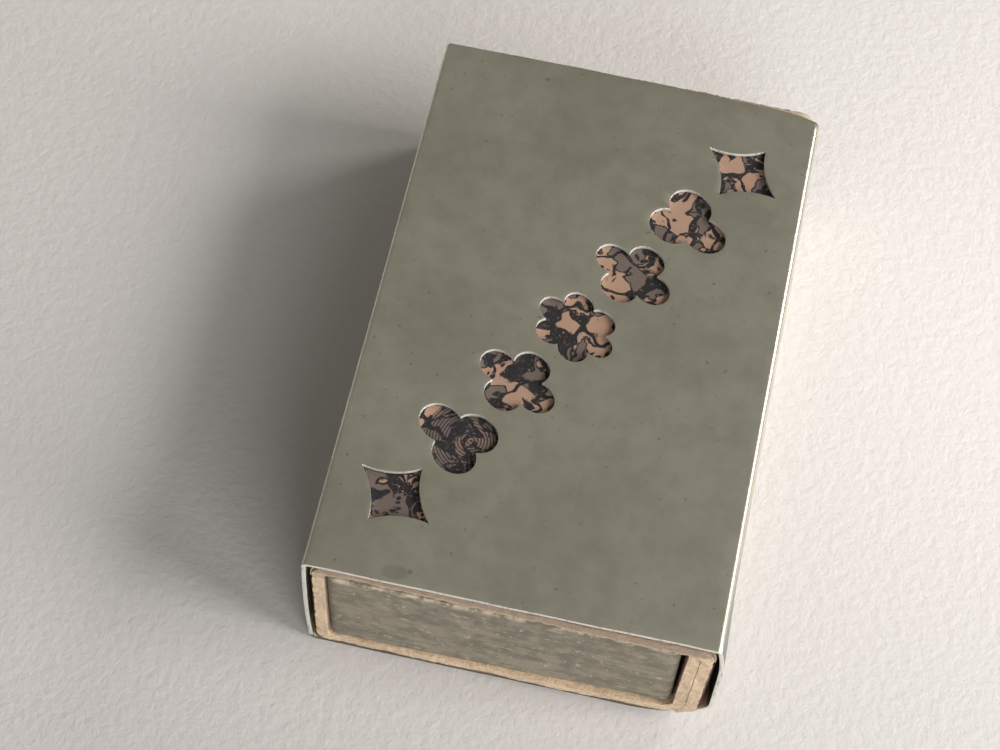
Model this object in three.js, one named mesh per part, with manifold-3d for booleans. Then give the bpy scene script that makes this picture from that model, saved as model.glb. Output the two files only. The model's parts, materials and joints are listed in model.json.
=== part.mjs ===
// A thin silver sleeve that a matchbox slips into, with the card matchbox and its matches inside it.
// Millimetres, +Z up. The front end looks towards -Y, where the match heads lie.
import * as THREE from 'three';
import { mergeVertices } from 'three/addons/utils/BufferGeometryUtils.js';
import Module from 'manifold-3d';

const wasm = await Module();
wasm.setup();

// Silver sleeve
const caseWidth = 38;              // across the top plate
const caseLength = 58;             // from open end to open end
const caseHeight = 17.5;
const sheetThickness = 0.4;
const topFoldRadius = 0.6;         // outside of the crisp folds beside the plate
const leftFootRadius = 1;          // outside of the lower left bend
const leftWallBow = 0.15;          // the left wall bulges out in its middle
const rightWallSplay = 0.5;        // the right wall stands out, and comes in only under the fold
const splayTop = 11;               // height at which it starts to come in
const splayCurve = 2.5;            // 2 would be a parabola
const softFootWidth = 7.5;         // the lower right bend is a soft, flattened one
const softFootHeight = 4.4;
const softFootFullness = 1.8;      // 2 would be a quarter of an ellipse
const wornEdgeWidth = 16.5;        // the back end is worn shorter towards its right corner
const wornEdgeShoulder = 3;
const wornEdgeDepth = 0.45;        // at the shoulder
const wornCornerDepth = 1.4;       // at the corner

// Windows in the side walls, so that a match can be struck
const windowPost = 6;              // metal left at each open end
const windowSill = 4.8;            // height of the lower edge
const windowHead = 13.6;           // height of the upper edge
const windowCornerRadius = 1.2;

// Pierced row across the plate
const rowInsetAcross = 6.2;        // from the plate's edge to the first motif's middle
const rowInsetAlong = 7.9;
const motifPitch = 8;
const motifReach = 4.25;           // half size across the row
const motifSpread = 3.5;           // half size along the row
const starWaist = 0.3;             // how full the four-pointed star is
const lobeSteps = 12;              // straight pieces in a lobe, and in a side of the star
const starSteps = 8;
const lobeFullness = { six: 0.36, four: 0.44, three: 0.52 };  // a lobe's radius in a half size of 1

// Card cover of the matchbox
const cardThickness = 1.08;
const boxClearance = 0.25;         // from the paper to the metal round it
const coverStandOut = 0.3;         // how far the card passes each end of the sleeve
const coverReach = 0.3;            // the cover fills part of the right wall's splay
const coverBend = 0.95;            // middle of the card at a fold
const footBend = 2;                // the same for the soft bend under the lapped wall
const lapGap = 0.08;               // crack between the two glued layers
const wallLean = 0.45;             // the lapped wall leans in towards its foot
const floorLift = 0.25;            // the floor is lifted off the metal,
const floorRise = 0.8;             // and rises to the right
const bendSteps = 8;               // straight pieces in a fold
const lapSteps = 2;                // of which the outer flap covers this many at the foot

// Papers on the cover
const paperThickness = 0.15;
const glueGap = 0.05;
const labelDrop = 2.1;             // how far the label turns down each side
const strikerRise = 2.6;           // from the cover's foot to the strip
const strikerGap = 0.5;            // between the strip and the label's edge

// Tray
const trayClearance = 0.3;
const trayLift = 0.5;              // the tray rides on the soft bend
const trayRecess = 0.3;            // the end panel lies this far inside the cover
const trayFloor = 0.9;
const trayWall = 0.9;
const trayEnd = 1.1;
const trayCornerRadius = 0.8;

// Matches
const stickWidth = 2;
const stickLength = 42.5;
const headRadius = 1.3;
const headLength = 3.4;
const headSpace = 0.3;             // between two heads in a layer
const layerRise = 2.45;
const endSpace = 3.2;              // from the heads' mean place to the tray's end
const headShoulder = 0.4;          // share of a head's length before its tip rounds off
const headFoot = 0.88;             // how much narrower a head is where it meets the stick
const headSteps = 6;
const headSides = 12;
const stagger = 0.9;               // how unevenly the matches lie
const staggerTurn = 2.4;           // from one match to the next, in radians
const layerTurn = 1.7;             // and from one layer to the next

// Places that follow from the sizes above
const caseTopInside = caseHeight - sheetThickness;
const coverLeft = -caseWidth / 2 + sheetThickness + boxClearance + paperThickness + glueGap;
const coverRight = -coverLeft + coverReach;
const coverLength = caseLength + 2 * coverStandOut;
const coverBase = sheetThickness + boxClearance + floorLift;
const coverTop = caseTopInside - boxClearance - paperThickness - glueGap;
const trayLength = coverLength - 2 * trayRecess;
const trayBase = coverBase + floorRise + cardThickness + trayClearance + trayLift;
const trayTop = coverTop - cardThickness - trayClearance;

const silver = new THREE.MeshStandardMaterial({ color: 0x8d8977, roughness: 0.35, metalness: 0.9 });
const pulpCard = new THREE.MeshStandardMaterial({ color: 0xc9a787, roughness: 0.95, metalness: 0 });
const printedPaper = new THREE.MeshStandardMaterial({ color: 0xa98a78, roughness: 0.85, metalness: 0 });
const strikerPaper = new THREE.MeshStandardMaterial({ color: 0x3d2b27, roughness: 0.95, metalness: 0 });
const trayPaper = new THREE.MeshStandardMaterial({ color: 0x7b7462, roughness: 0.9, metalness: 0 });
const matchWood = new THREE.MeshStandardMaterial({ color: 0xd8bd8c, roughness: 0.8, metalness: 0 });
const headPaste = new THREE.MeshStandardMaterial({ color: 0x7a2a20, roughness: 0.85, metalness: 0 });

// Booleans
function solidOf(geometry) {
  const bare = geometry.clone();
  bare.deleteAttribute('normal');
  bare.deleteAttribute('uv');
  const merged = mergeVertices(bare, 1e-5);
  const vertProperties = new Float32Array(merged.attributes.position.array);
  const triVerts = new Uint32Array(merged.index.array);
  return new wasm.Manifold(new wasm.Mesh({ numProp: 3, vertProperties, triVerts }));
}

function geometryOf(solid) {
  const mesh = solid.getMesh();
  const geometry = new THREE.BufferGeometry();
  geometry.setAttribute('position', new THREE.BufferAttribute(new Float32Array(mesh.vertProperties), 3));
  geometry.setIndex(new THREE.BufferAttribute(new Uint32Array(mesh.triVerts), 1));
  return geometry;
}

// Outlines
function point(x, y) {
  return new THREE.Vector2(x, y);
}

function arcPoints(centreX, centreY, radius, startDegrees, endDegrees, steps) {
  const points = [];
  for (let i = 0; i <= steps; i += 1) {
    const angle = THREE.MathUtils.degToRad(startDegrees + (endDegrees - startDegrees) * i / steps);
    points.push(point(centreX + radius * Math.cos(angle), centreY + radius * Math.sin(angle)));
  }
  return points;
}

// A wall between two bends that stands out by bulge(share of the way); its two ends are left out
function bulgingWall(x, fromZ, toZ, bulge, steps) {
  const points = [];
  for (let i = 1; i < steps; i += 1) {
    points.push(point(x + bulge(i / steps), fromZ + (toZ - fromZ) * i / steps));
  }
  return points;
}

// A soft bend from the floor at z = 0 up to a wall at wallX
function softFoot(wallX, steps) {
  const points = [];
  const power = 2 / softFootFullness;
  for (let i = 0; i <= steps; i += 1) {
    const angle = Math.PI / 2 * i / steps;
    points.push(point(
      wallX - softFootWidth * (1 - Math.sin(angle) ** power),
      softFootHeight * (1 - Math.abs(Math.cos(angle)) ** power)));
  }
  return points;
}

function roundedRectangle(left, right, low, high, radius) {
  return [
    ...arcPoints(right - radius, low + radius, radius, -90, 0, 5),
    ...arcPoints(right - radius, high - radius, radius, 0, 90, 5),
    ...arcPoints(left + radius, high - radius, radius, 90, 180, 5),
    ...arcPoints(left + radius, low + radius, radius, 180, 270, 5),
  ];
}

// A line through the given corners, each but the ends turned in an arc of its own radius
function bentLine(corners, radii, steps) {
  const line = [corners[0].clone()];
  for (let i = 1; i < corners.length - 1; i += 1) {
    const radius = radii[i - 1];
    const inward = corners[i - 1].clone().sub(corners[i]).normalize();
    const outward = corners[i + 1].clone().sub(corners[i]).normalize();
    const halfAngle = Math.acos(THREE.MathUtils.clamp(inward.dot(outward), -1, 1)) / 2;
    const middle = inward.clone().add(outward).normalize().multiplyScalar(radius / Math.sin(halfAngle));
    const centre = corners[i].clone().add(middle);
    const start = corners[i].clone().addScaledVector(inward, radius / Math.tan(halfAngle)).sub(centre);
    const turn = inward.cross(outward) > 0 ? -1 : 1;
    const sweep = turn * (Math.PI - 2 * halfAngle);
    for (let k = 0; k <= steps; k += 1) {
      line.push(start.clone().rotateAround(point(0, 0), sweep * k / steps).add(centre));
    }
  }
  line.push(corners[corners.length - 1].clone());
  return line;
}

// The same line moved sideways, to its right for a positive distance
function besideLine(line, distance) {
  return line.map((here, i) => {
    const before = line[Math.max(i - 1, 0)];
    const after = line[Math.min(i + 1, line.length - 1)];
    const into = here.clone().sub(before).normalize();
    const out = after.clone().sub(here).normalize();
    const along = into.add(out).normalize();
    const step = i === 0 || i === line.length - 1 ? along : here.clone().sub(before).normalize();
    const spread = Math.max(Math.abs(along.dot(step)), 0.5);
    return here.clone().add(point(along.y, -along.x).multiplyScalar(distance / spread));
  });
}

// The section of a strip of the given thickness whose right face runs at the given distance
function stripOutline(line, innerDistance, outerDistance) {
  return [...besideLine(line, outerDistance), ...besideLine(line, innerDistance).reverse()];
}

// Solids from outlines
function extrude(points, depth, holes = []) {
  const shape = new THREE.Shape(points);
  shape.holes = holes.map((hole) => new THREE.Path(hole));
  return new THREE.ExtrudeGeometry(shape, { depth, bevelEnabled: false });
}

// A section in X and Z, run from -length / 2 to length / 2 along Y
function extrudeAlongY(points, length, holes = []) {
  const geometry = extrude(points, length, holes);
  const turn = new THREE.Matrix4().makeBasis(
    new THREE.Vector3(1, 0, 0), new THREE.Vector3(0, 0, 1), new THREE.Vector3(0, -1, 0));
  geometry.applyMatrix4(turn);
  geometry.translate(0, length / 2, 0);
  return geometry;
}

// An outline in Y and Z, run from fromX to toX
function extrudeAlongX(points, fromX, toX) {
  const geometry = extrude(points, toX - fromX);
  const turn = new THREE.Matrix4().makeBasis(
    new THREE.Vector3(0, 1, 0), new THREE.Vector3(0, 0, 1), new THREE.Vector3(1, 0, 0));
  geometry.applyMatrix4(turn);
  geometry.translate(fromX, 0, 0);
  return geometry;
}

// Silver sleeve: one sheet folded round into a tube that is open at both ends
function sleeveLoop() {
  const side = caseWidth / 2;
  const top = caseHeight - topFoldRadius;
  const rightBulge = (share) => rightWallSplay * (1 - share ** splayCurve);
  const leftBulge = (share) => -4 * leftWallBow * share * (1 - share);
  return [
    ...softFoot(side + rightWallSplay, 12),
    point(side + rightWallSplay, splayTop),
    ...bulgingWall(side, splayTop, top, rightBulge, 8),
    ...arcPoints(side - topFoldRadius, top, topFoldRadius, 0, 90, 6),
    ...arcPoints(-side + topFoldRadius, top, topFoldRadius, 90, 180, 6),
    ...bulgingWall(-side, top, leftFootRadius, leftBulge, 6),
    ...arcPoints(-side + leftFootRadius, leftFootRadius, leftFootRadius, 180, 270, 6),
  ];
}

// A flower of round lobes that run into each other
function lobedMotif(lobes, radius) {
  const offset = 1 - radius;
  const half = Math.PI / lobes;
  const reach = offset * Math.cos(half) + Math.sqrt(radius ** 2 - (offset * Math.sin(half)) ** 2);
  const cusp = Math.atan2(reach * Math.sin(half), reach * Math.cos(half) - offset);
  const points = [];
  for (let i = 0; i < lobes; i += 1) {
    const middle = 2 * half * i;
    const centre = point(offset * Math.cos(middle), offset * Math.sin(middle));
    const start = THREE.MathUtils.radToDeg(middle - cusp);
    const end = THREE.MathUtils.radToDeg(middle + cusp);
    points.push(...arcPoints(centre.x, centre.y, radius, start, end, lobeSteps).slice(0, -1));
  }
  return points;
}

// A star with four drawn-in points
function starMotif() {
  const points = [];
  for (let arm = 0; arm < 4; arm += 1) {
    const tip = point(1, 0).rotateAround(point(0, 0), arm * Math.PI / 2);
    const next = point(1, 0).rotateAround(point(0, 0), (arm + 1) * Math.PI / 2);
    const hollow = tip.clone().add(next).multiplyScalar(starWaist);
    const side = new THREE.QuadraticBezierCurve(tip, hollow, next);
    points.push(...side.getPoints(starSteps).slice(0, -1));
  }
  return points;
}

const motifKinds = [
  lobedMotif(6, lobeFullness.six),
  lobedMotif(4, lobeFullness.four),
  lobedMotif(3, lobeFullness.three),
  starMotif(),
];

// The motifs stand in a row from the front left corner to the back right one
function motifCutters() {
  const rowEnd = point(caseWidth / 2 - rowInsetAcross, caseLength / 2 - rowInsetAlong);
  const rowDirection = rowEnd.clone().normalize();
  const pairs = Math.floor(rowEnd.length() / motifPitch + 1e-6);
  const cutters = [];
  for (let i = -pairs; i <= pairs; i += 1) {
    const kind = motifKinds[Math.min(Math.abs(i), motifKinds.length - 1)];
    const flip = i < 0 ? -1 : 1;
    const outline = kind.map((p) => point(flip * p.x * motifReach, flip * p.y * motifSpread));
    const cutter = extrude(outline, 4 * sheetThickness);
    cutter.rotateZ(rowDirection.angle() - Math.PI / 2);
    const middle = rowDirection.clone().multiplyScalar(i * motifPitch);
    cutter.translate(middle.x, middle.y, caseHeight - 2 * sheetThickness);
    cutters.push(solidOf(cutter));
  }
  return cutters;
}

function windowCutter(side) {
  const half = caseLength / 2 - windowPost;
  const outline = roundedRectangle(-half, half, windowSill, windowHead, windowCornerRadius);
  const near = caseWidth / 2 - 2 * sheetThickness;
  const far = caseWidth / 2 + rightWallSplay + sheetThickness;
  const [fromX, toX] = side > 0 ? [near, far] : [-far, -near];
  return solidOf(extrudeAlongX(outline, fromX, toX));
}

function wornEndCutter() {
  const right = caseWidth / 2;
  const end = caseLength / 2;
  const outside = right + rightWallSplay + sheetThickness;
  const edge = new THREE.CatmullRomCurve3([
    new THREE.Vector3(right - wornEdgeWidth, end, 0),
    new THREE.Vector3(right - wornEdgeShoulder, end - wornEdgeDepth, 0),
    new THREE.Vector3(right, end - wornCornerDepth, 0),
  ]);
  const outline = [
    point(right - wornEdgeWidth, end + sheetThickness),
    ...edge.getPoints(14).map((p) => point(p.x, p.y)),
    point(outside, end - wornCornerDepth),
    point(outside, end + sheetThickness),
  ];
  const cutter = extrude(outline, caseHeight + 2 * sheetThickness);
  cutter.translate(0, 0, -sheetThickness);
  return solidOf(cutter);
}

function caseSleeve() {
  const outside = sleeveLoop();
  const inside = besideLine([...outside, outside[0]], -sheetThickness).slice(0, -1);
  let sleeve = solidOf(extrudeAlongY(outside, caseLength, [inside]));
  const cutters = [...motifCutters(), windowCutter(-1), windowCutter(1), wornEndCutter()];
  for (const cutter of cutters) {
    sleeve = sleeve.subtract(cutter);
  }
  return geometryOf(sleeve);
}

// Card cover: one strip wrapped round, its last flap glued over its first on the right
function lappedWallX(z, layer) {
  const outerMiddle = coverRight - cardThickness / 2;
  const lean = wallLean * (coverTop - z) / (coverTop - coverBase);
  return outerMiddle - lean - layer * (cardThickness + lapGap);
}

const leftWallX = coverLeft + cardThickness / 2;
const topPanelZ = coverTop - cardThickness / 2;
const innerFlapTop = coverTop - cardThickness - lapGap;
const leftFloorZ = coverBase + cardThickness / 2;
const rightFloorZ = leftFloorZ + floorRise;

function wrappedLine() {
  const corners = [
    point(lappedWallX(innerFlapTop, 1), innerFlapTop),
    point(lappedWallX(rightFloorZ, 1), rightFloorZ),
    point(leftWallX, leftFloorZ),
    point(leftWallX, topPanelZ),
    point(lappedWallX(topPanelZ, 0), topPanelZ),
    point(lappedWallX(rightFloorZ, 0), rightFloorZ),
  ];
  const line = bentLine(corners, [footBend, coverBend, coverBend, coverBend], bendSteps);
  const outerFoot = besideLine(line.slice(1, bendSteps + 2), -cardThickness - lapGap);
  return [...line.slice(0, -1), ...outerFoot.slice(0, lapSteps + 1)];
}

function boxCover() {
  const section = stripOutline(wrappedLine(), cardThickness / 2, -cardThickness / 2);
  return extrudeAlongY(section, coverLength);
}

// Papers glued on the cover: the label over its top, and a rough strip on each side
const paperInner = cardThickness / 2 + glueGap;
const paperOuter = paperInner + paperThickness;
const labelFoot = coverTop - labelDrop;
const strikerFoot = coverBase + strikerRise;
const strikerHead = labelFoot - strikerGap;

function paperAlong(line) {
  return extrudeAlongY(stripOutline(line, -paperInner, -paperOuter).reverse(), coverLength);
}

function coverLabel() {
  const corners = [
    point(leftWallX, labelFoot),
    point(leftWallX, topPanelZ),
    point(lappedWallX(topPanelZ, 0), topPanelZ),
    point(lappedWallX(labelFoot, 0), labelFoot),
  ];
  return paperAlong(bentLine(corners, [coverBend, coverBend], bendSteps));
}

function strikerLeft() {
  return paperAlong([point(leftWallX, strikerFoot), point(leftWallX, strikerHead)]);
}

function strikerRight() {
  return paperAlong([
    point(lappedWallX(strikerHead, 0), strikerHead),
    point(lappedWallX(strikerFoot, 0), strikerFoot),
  ]);
}

// Tray: floor, two sides and two end panels
const trayLeft = leftWallX + cardThickness / 2 + trayClearance;
const trayRight = lappedWallX(trayBase, 1) - cardThickness / 2 - trayClearance;
const trayMiddle = (trayLeft + trayRight) / 2;

function tray() {
  const halfLength = trayLength / 2;
  const outline = roundedRectangle(trayLeft, trayRight, -halfLength, halfLength, trayCornerRadius);
  const pocket = roundedRectangle(trayLeft + trayWall, trayRight - trayWall,
    -halfLength + trayEnd, halfLength - trayEnd, trayCornerRadius / 2);
  const body = extrude(outline, trayTop - trayBase);
  body.translate(0, 0, trayBase);
  const hollow = extrude(pocket, trayTop - trayBase);
  hollow.translate(0, 0, trayBase + trayFloor);
  return geometryOf(solidOf(body).subtract(solidOf(hollow)));
}

// Matches: two layers that lie along the tray with their heads to the front
const matchPitch = 2 * headRadius + headSpace;
const insideWidth = trayRight - trayLeft - 2 * trayWall;
const lowerCount = Math.floor(insideWidth / matchPitch);
const headPlane = -trayLength / 2 + trayEnd + endSpace + headLength;

function matchPlaces() {
  const places = [];
  for (let layer = 0; layer < 2; layer += 1) {
    const count = lowerCount - layer;
    for (let i = 0; i < count; i += 1) {
      places.push({
        x: trayMiddle + (i - (count - 1) / 2) * matchPitch,
        y: headPlane + stagger * Math.sin(staggerTurn * i + layerTurn * layer),
        z: trayBase + trayFloor + headRadius + layer * layerRise,
      });
    }
  }
  return places;
}

function matchStick(place) {
  const geometry = new THREE.BoxGeometry(stickWidth, stickLength, stickWidth);
  geometry.translate(place.x, place.y + stickLength / 2, place.z);
  return geometry;
}

function matchHead(place) {
  const profile = [point(0, -headLength)];
  for (let i = 1; i < headSteps; i += 1) {
    const angle = Math.PI / 2 * i / headSteps;
    const along = headShoulder + (1 - headShoulder) * Math.cos(angle);
    profile.push(point(headRadius * Math.sin(angle), -headLength * along));
  }
  profile.push(point(headRadius, -headShoulder * headLength), point(headFoot * headRadius, 0), point(0, 0));
  const geometry = new THREE.LatheGeometry(profile, headSides);
  geometry.translate(place.x, place.y, place.z);
  return geometry;
}

// Assembly
const matchboxCase = new THREE.Group();
matchboxCase.position.x = (leftWallBow - rightWallSplay) / 2;

function add(name, geometry, material) {
  const mesh = new THREE.Mesh(geometry, material);
  mesh.name = name;
  matchboxCase.add(mesh);
}

add('case_sleeve', caseSleeve(), silver);
add('box_cover', boxCover(), pulpCard);
add('cover_label', coverLabel(), printedPaper);
add('striker_left', strikerLeft(), strikerPaper);
add('striker_right', strikerRight(), strikerPaper);
add('tray', tray(), trayPaper);
matchPlaces().forEach((place, i) => {
  const number = String(i + 1).padStart(2, '0');
  add(`match_stick_${number}`, matchStick(place), matchWood);
  add(`match_head_${number}`, matchHead(place), headPaste);
});

export default matchboxCase;
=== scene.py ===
import json
import math
import random
import bpy
from mathutils import Matrix, Quaternion, Vector, noise

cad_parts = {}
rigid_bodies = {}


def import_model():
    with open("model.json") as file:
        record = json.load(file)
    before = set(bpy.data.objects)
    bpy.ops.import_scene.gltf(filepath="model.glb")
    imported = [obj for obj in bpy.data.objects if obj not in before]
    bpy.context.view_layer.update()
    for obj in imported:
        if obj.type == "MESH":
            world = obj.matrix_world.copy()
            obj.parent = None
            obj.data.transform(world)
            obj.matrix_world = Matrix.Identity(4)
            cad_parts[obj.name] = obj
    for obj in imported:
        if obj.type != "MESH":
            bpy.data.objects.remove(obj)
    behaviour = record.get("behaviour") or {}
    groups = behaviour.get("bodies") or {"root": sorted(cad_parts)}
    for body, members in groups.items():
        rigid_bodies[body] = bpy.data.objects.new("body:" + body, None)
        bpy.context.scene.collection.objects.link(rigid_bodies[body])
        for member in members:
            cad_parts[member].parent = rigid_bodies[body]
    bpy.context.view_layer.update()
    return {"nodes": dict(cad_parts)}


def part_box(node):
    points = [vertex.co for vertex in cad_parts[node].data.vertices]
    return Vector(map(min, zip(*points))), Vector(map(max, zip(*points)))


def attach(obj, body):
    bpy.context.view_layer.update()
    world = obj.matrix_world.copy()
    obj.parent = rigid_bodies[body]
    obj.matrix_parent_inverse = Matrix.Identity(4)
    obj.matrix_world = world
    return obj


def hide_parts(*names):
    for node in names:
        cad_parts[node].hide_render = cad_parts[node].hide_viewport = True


# A pierced silver sleeve round a card matchbox. Plans are in millimetres; the frame is in metres.
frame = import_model()
scene = bpy.context.scene
mm = 0.001


def toMm(vector):
    return vector / mm


# Small helpers for outlines in X and Z, all in millimetres
def arcPoints(centreX, centreZ, radius, startDegrees, endDegrees, steps):
    points = []
    for i in range(steps + 1):
        angle = math.radians(startDegrees + (endDegrees - startDegrees) * i / steps)
        points.append(Vector((centreX + radius * math.cos(angle), centreZ + radius * math.sin(angle))))
    return points


def straightPoints(start, end, steps):  # both ends left out
    return [start.lerp(end, i / steps) for i in range(1, steps)]


def bulgingWall(x, fromZ, toZ, bulge, steps):  # both ends left out
    return [Vector((x + bulge(i / steps), fromZ + (toZ - fromZ) * i / steps)) for i in range(1, steps)]


def roundedRectangle(left, right, low, high, radius, steps):
    left, right, low, high = left + radius, right - radius, low + radius, high - radius
    centres = [(right, low), (right, high), (left, high), (left, low)]
    return [p for k, (x, z) in enumerate(centres) for p in arcPoints(x, z, radius, 90 * k - 90, 90 * k, steps)]


def bentLine(corners, radii, steps):
    line = [corners[0].copy()]
    for i in range(1, len(corners) - 1):
        radius = radii[i - 1]
        inward = (corners[i - 1] - corners[i]).normalized()
        outward = (corners[i + 1] - corners[i]).normalized()
        halfAngle = math.acos(max(-1.0, min(1.0, inward.dot(outward)))) / 2
        centre = corners[i] + (inward + outward).normalized() * (radius / math.sin(halfAngle))
        arm = corners[i] + inward * (radius / math.tan(halfAngle)) - centre
        turn = -1 if inward.x * outward.y - inward.y * outward.x > 0 else 1
        sweep = turn * (math.pi - 2 * halfAngle)
        for k in range(steps + 1):
            line.append(centre + Matrix.Rotation(sweep * k / steps, 2) @ arm)
    line.append(corners[-1].copy())
    return line


def spacedLine(line, spacing):  # the long stretches get points of their own
    spaced = [line[0]]
    for here, there in zip(line, line[1:]):
        steps = max(1, round((there - here).length / spacing))
        spaced += [here.lerp(there, k / steps) for k in range(1, steps + 1)]
    return spaced


def besideLine(line, distance):
    moved = []
    last = len(line) - 1
    for i, here in enumerate(line):
        into = (here - line[i - 1]).normalized() if i else (line[1] - here).normalized()
        out = (line[i + 1] - here).normalized() if i < last else into
        along = (into + out).normalized()
        spread = max(abs(along.dot(into)), 0.5)
        moved.append(here + Vector((along.y, -along.x)) * (distance / spread))
    return moved


def unevenness(x, y, z, size, seed):  # smooth noise from -1 to 1, features of about size mm
    return noise.noise(Vector((x / size + seed, y / size - seed, z / size + 2.3 * seed)))


def held(share):
    return max(0.0, min(1.0, share))


# Small helpers for meshes
def makeObject(name, vertices, faces, material):
    mesh = bpy.data.meshes.new(name)
    mesh.from_pydata([Vector(v) * mm for v in vertices], [], faces)
    mesh.materials.append(material)
    made = bpy.data.objects.new(name, mesh)
    scene.collection.objects.link(made)
    return made


def bridged(rings):  # the faces between closed rings of vertex numbers
    faces = []
    for lower, upper in zip(rings, rings[1:]):
        faces += zip(lower, [*lower[1:], lower[0]], [*upper[1:], upper[0]], upper)
    return faces


def prism(outline, low, high):  # an outline in X and Y, stood up along Z
    count = len(outline)
    vertices = [(p.x, p.y, low) for p in outline] + [(p.x, p.y, high) for p in outline]
    rings = [range(count), range(count, 2 * count)]
    return vertices, [[*reversed(rings[0])], [*rings[1]], *bridged(rings)]


def recalculated(made):
    bpy.context.view_layer.objects.active = made
    made.select_set(True)
    bpy.ops.object.mode_set(mode="EDIT")
    bpy.ops.mesh.select_all(action="SELECT")
    bpy.ops.mesh.normals_make_consistent(inside=False)
    bpy.ops.object.mode_set(mode="OBJECT")
    made.select_set(False)
    return made


def frozen(made):  # the evaluated result becomes a plain mesh
    bpy.context.view_layer.update()
    graph = bpy.context.evaluated_depsgraph_get()
    mesh = bpy.data.meshes.new_from_object(made.evaluated_get(graph))
    made.modifiers.clear()
    old = made.data
    made.data = mesh
    bpy.data.meshes.remove(old)


def shadeSmooth(made, sharpDegrees):
    mesh = made.data
    mesh.shade_smooth()
    mesh.set_sharp_from_angle(angle=math.radians(sharpDegrees))


def modifierInput(modifier, name, value):
    for item in modifier.node_group.interface.items_tree:
        if item.item_type == "SOCKET" and item.in_out == "INPUT" and item.name == name:
            modifier[item.identifier] = value


# Small helpers for node trees
def feed(tree, node, values):  # a socket of another node is linked, a plain value is set
    for key, value in values.items():
        if isinstance(value, bpy.types.NodeSocket):
            tree.links.new(value, node.inputs[key])
        else:
            node.inputs[key].default_value = value


def place(tree, kind, inputs=None, **settings):
    made = tree.nodes.new(kind)
    for key, value in settings.items():
        setattr(made, key, value)
    feed(tree, made, inputs or {})
    return made


def result(tree, kind, inputs=None, **settings):  # the first output of a new node
    return place(tree, kind, inputs, **settings).outputs[0]


def split(tree, vector):
    return place(tree, "ShaderNodeSeparateXYZ", {0: vector}).outputs


def vectorMath(tree, operation, first, second=None, scale=None):
    given = {0: first, 1: second, "Scale": scale}
    made = place(tree, "ShaderNodeVectorMath", {k: v for k, v in given.items() if v is not None},
                 operation=operation)
    return made.outputs["Value" if operation in ("LENGTH", "DISTANCE", "DOT_PRODUCT") else "Vector"]


def calc(tree, operation, first, second=0.0, third=0.0):
    return result(tree, "ShaderNodeMath", {0: first, 1: second, 2: third}, operation=operation)


def times(tree, first, second):
    return calc(tree, "MULTIPLY", first, second)


def distanceFrom(tree, value, middle):
    return calc(tree, "ABSOLUTE", calc(tree, "SUBTRACT", value, middle))


def band(tree, value, low, high, outLow=0.0, outHigh=1.0):
    inputs = {"Value": value, "From Min": low, "From Max": high, "To Min": outLow, "To Max": outHigh}
    return result(tree, "ShaderNodeMapRange", inputs, interpolation_type="SMOOTHSTEP")


def mixColour(tree, factor, first, second):
    return place(tree, "ShaderNodeMix", {0: factor, 6: first, 7: second}, data_type="RGBA").outputs[2]


def tinted(tree, colour, mask, strength, tint):
    return mixColour(tree, times(tree, mask, strength), colour, tint)


def noiseOf(tree, vector, scale, detail=3.0, roughness=0.55, distortion=0.0):
    inputs = {"Vector": vector, "Scale": scale, "Detail": detail,
              "Roughness": roughness, "Distortion": distortion}
    return place(tree, "ShaderNodeTexNoise", inputs).outputs["Fac"]


def stretched(tree, vector, scale, degrees=(0, 0, 0)):
    inputs = {"Vector": vector, "Scale": scale, "Rotation": [math.radians(d) for d in degrees]}
    return result(tree, "ShaderNodeMapping", inputs)


def startGroup(name, treeKind, inputs, outputs):  # each socket: its name, its kind and perhaps its first value
    tree = bpy.data.node_groups.new(name, treeKind)
    for side, sockets in (("INPUT", inputs), ("OUTPUT", outputs)):
        for socketName, kind, *value in sockets:
            socket = tree.interface.new_socket(name=socketName, in_out=side, socket_type="NodeSocket" + kind)
            if value:
                socket.default_value = value[0]
    return tree, tree.nodes.new("NodeGroupInput").outputs, tree.nodes.new("NodeGroupOutput")


def useGroup(tree, group, inputs):
    return place(tree, "ShaderNodeGroup", inputs, node_tree=group).outputs


def startMaterial(name):
    material = bpy.data.materials.new(name)
    material.use_nodes = True
    tree = material.node_tree
    shader = tree.nodes["Principled BSDF"]
    where = place(tree, "ShaderNodeTexCoord").outputs["Object"]
    return material, tree, shader, where


def finishMaterial(material, shader, values, height, distance, strength):
    tree = material.node_tree
    bump = result(tree, "ShaderNodeBump", {"Height": height, "Distance": distance, "Strength": strength})
    feed(tree, shader, {**values, "Normal": bump})
    return material


# Shared surface effects
def makeFibreGroup():  # matted fibres of card and paper
    tree, given, made = startGroup(
        "fibreMat", "ShaderNodeTree",
        [("Vector", "Vector"), ("Scale", "Float", 1400.0), ("Tangle", "Float", 1.5)], [("Height", "Float")])
    flat = noiseOf(tree, given["Vector"], given["Scale"], 6.0, 0.65, given["Tangle"])
    fine = noiseOf(tree, given["Vector"], times(tree, given["Scale"], 3.1), 3.0, 0.6, 2.5)
    height = calc(tree, "ADD", times(tree, flat, 0.65), times(tree, fine, 0.35))
    tree.links.new(height, made.inputs["Height"])
    return tree


def makeHairlineGroup():  # many fine straight scratches in one direction
    tree, given, made = startGroup(
        "hairlines", "ShaderNodeTree", [("Vector", "Vector"), ("Density", "Float", 0.68)], [("Mask", "Float")])
    line = noiseOf(tree, given["Vector"], 1.0, 2.0, 0.5)
    gate = calc(tree, "ADD", given["Density"], 0.035)
    mask = place(tree, "ShaderNodeMapRange", {"Value": line, "From Min": given["Density"], "From Max": gate})
    tree.links.new(mask.outputs[0], made.inputs["Mask"])
    return tree


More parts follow.
